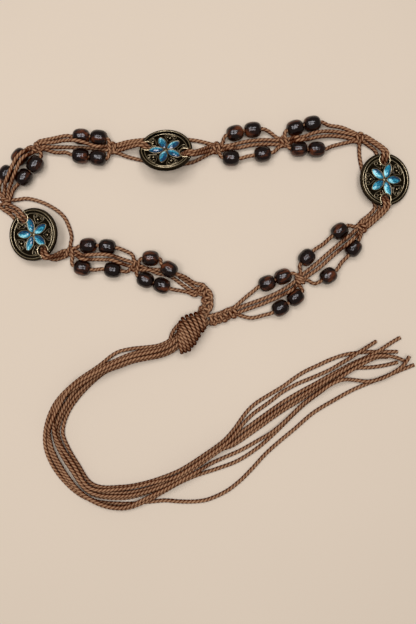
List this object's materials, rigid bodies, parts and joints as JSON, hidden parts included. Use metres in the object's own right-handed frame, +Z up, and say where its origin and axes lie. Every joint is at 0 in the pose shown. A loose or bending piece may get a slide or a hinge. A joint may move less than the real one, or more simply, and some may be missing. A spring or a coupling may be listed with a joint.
{
  "type": "cord waist belt",
  "caption": "Knotted waist belt of twisted cords with barrel beads and pierced flower medallions, tied in one overhand knot with long free cord ends, laid flat.",
  "frame": {"origin": "on the table, under the centre of the belt's box without its free cord ends", "axes": "+Z up from the table that the belt lies on, +Y to the top of the view from above, the long side of the loop along X"},
  "size_m": [0.3195, 0.3012, 0.0229],
  "materials": {
    "waxed_cord": "tan brown waxed cotton cord of three twisted plies",
    "dark_wood": "near black stained wood under gloss lacquer",
    "antique_bronze": "darkened bronze finish with blue stones"
  },
  "bodies": {
    "root": {"bead_1_inner_a": "dark_wood", "bead_1_inner_b": "dark_wood", "bead_1_outer_a": "dark_wood", "bead_1_outer_b": "dark_wood", "bead_2_inner_a": "dark_wood", "bead_2_inner_b": "dark_wood", "bead_2_outer_a": "dark_wood", "bead_2_outer_b": "dark_wood", "bead_3_inner_a": "dark_wood", "bead_3_inner_b": "dark_wood", "bead_3_outer_a": "dark_wood", "bead_3_outer_b": "dark_wood", "bead_4_inner_a": "dark_wood", "bead_4_inner_b": "dark_wood", "bead_4_outer_a": "dark_wood", "bead_4_outer_b": "dark_wood", "bead_5_inner_a": "dark_wood", "bead_5_inner_b": "dark_wood", "bead_5_outer_a": "dark_wood", "bead_5_outer_b": "dark_wood", "bead_6_inner_a": "dark_wood", "bead_6_inner_b": "dark_wood", "bead_6_outer_a": "dark_wood", "bead_6_outer_b": "dark_wood", "bead_7_inner_a": "dark_wood", "bead_7_inner_b": "dark_wood", "bead_7_outer_a": "dark_wood", "bead_7_outer_b": "dark_wood", "bead_8_inner_a": "dark_wood", "bead_8_inner_b": "dark_wood", "bead_8_outer_a": "dark_wood", "bead_8_outer_b": "dark_wood", "knotted_cords_01": "waxed_cord", "knotted_cords_02": "waxed_cord", "knotted_cords_03": "waxed_cord", "knotted_cords_04": "waxed_cord", "knotted_cords_05": "waxed_cord", "knotted_cords_06": "waxed_cord", "knotted_cords_07": "waxed_cord", "knotted_cords_08": "waxed_cord", "knotted_cords_09": "waxed_cord", "knotted_cords_10": "waxed_cord", "knotted_cords_11": "waxed_cord", "right_sennit": "waxed_cord", "overhand_knot": "waxed_cord", "tie_end_1": "waxed_cord", "tie_end_2": "waxed_cord", "tie_end_3": "waxed_cord", "tie_end_4": "waxed_cord", "tie_end_5": "waxed_cord", "tie_end_6": "waxed_cord", "tie_end_7": "waxed_cord", "tie_end_8": "waxed_cord", "medallion_left": "antique_bronze", "medallion_top": "antique_bronze", "medallion_right": "antique_bronze"}
  },
  "joints": []
}
